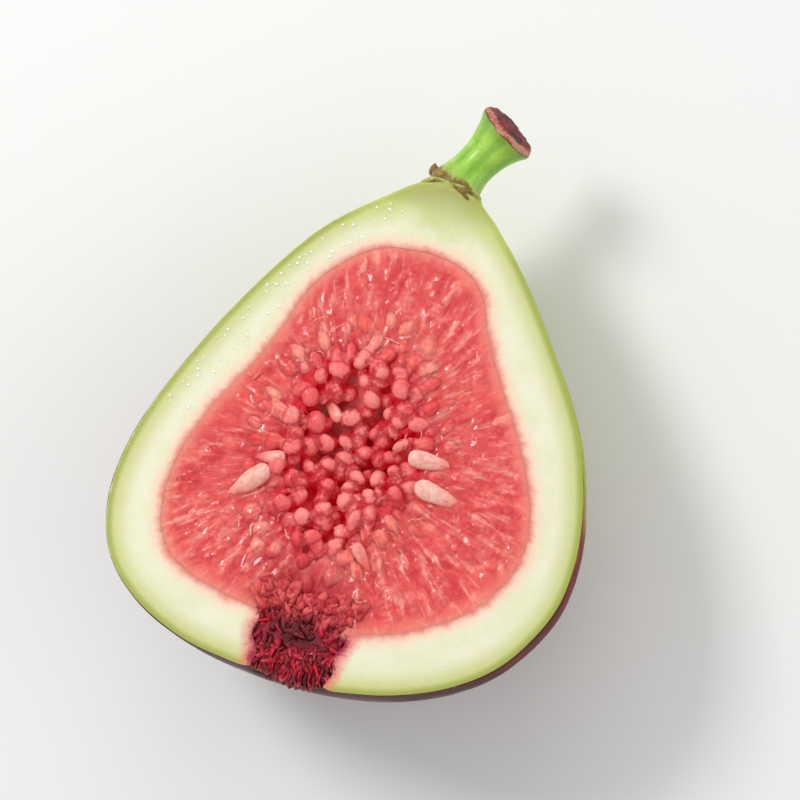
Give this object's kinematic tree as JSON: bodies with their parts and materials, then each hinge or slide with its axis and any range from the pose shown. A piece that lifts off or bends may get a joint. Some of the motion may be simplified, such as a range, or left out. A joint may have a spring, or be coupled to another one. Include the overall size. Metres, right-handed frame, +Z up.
{
  "type": "halved fresh fig",
  "caption": "Fresh fig cut in half lengthwise, lying on its skin with the seeded pulp, pale flesh, scaly eye and green stalk in view.",
  "frame": {"origin": "centre of the flat spot on the skin that the half fig lies on", "axes": "+Z up, +Y along the floor from the eye to the stalk, +X across the fruit; the cut face tips 10 degrees down towards the stalk"},
  "size_m": [0.051, 0.0668, 0.0265],
  "materials": {
    "rind": "moist pale flesh inside a thin skin that runs from yellow-green at the neck to dark maroon",
    "pulp": "wet, translucent pink-red florets with pale seeds",
    "eye_scales": "dark crimson, moist",
    "stalk": "smooth green with a brown-red cut end"
  },
  "bodies": {
    "root": {"rind": "rind", "pulp": "pulp", "eye_scales": "eye_scales", "stalk": "stalk"}
  },
  "joints": []
}
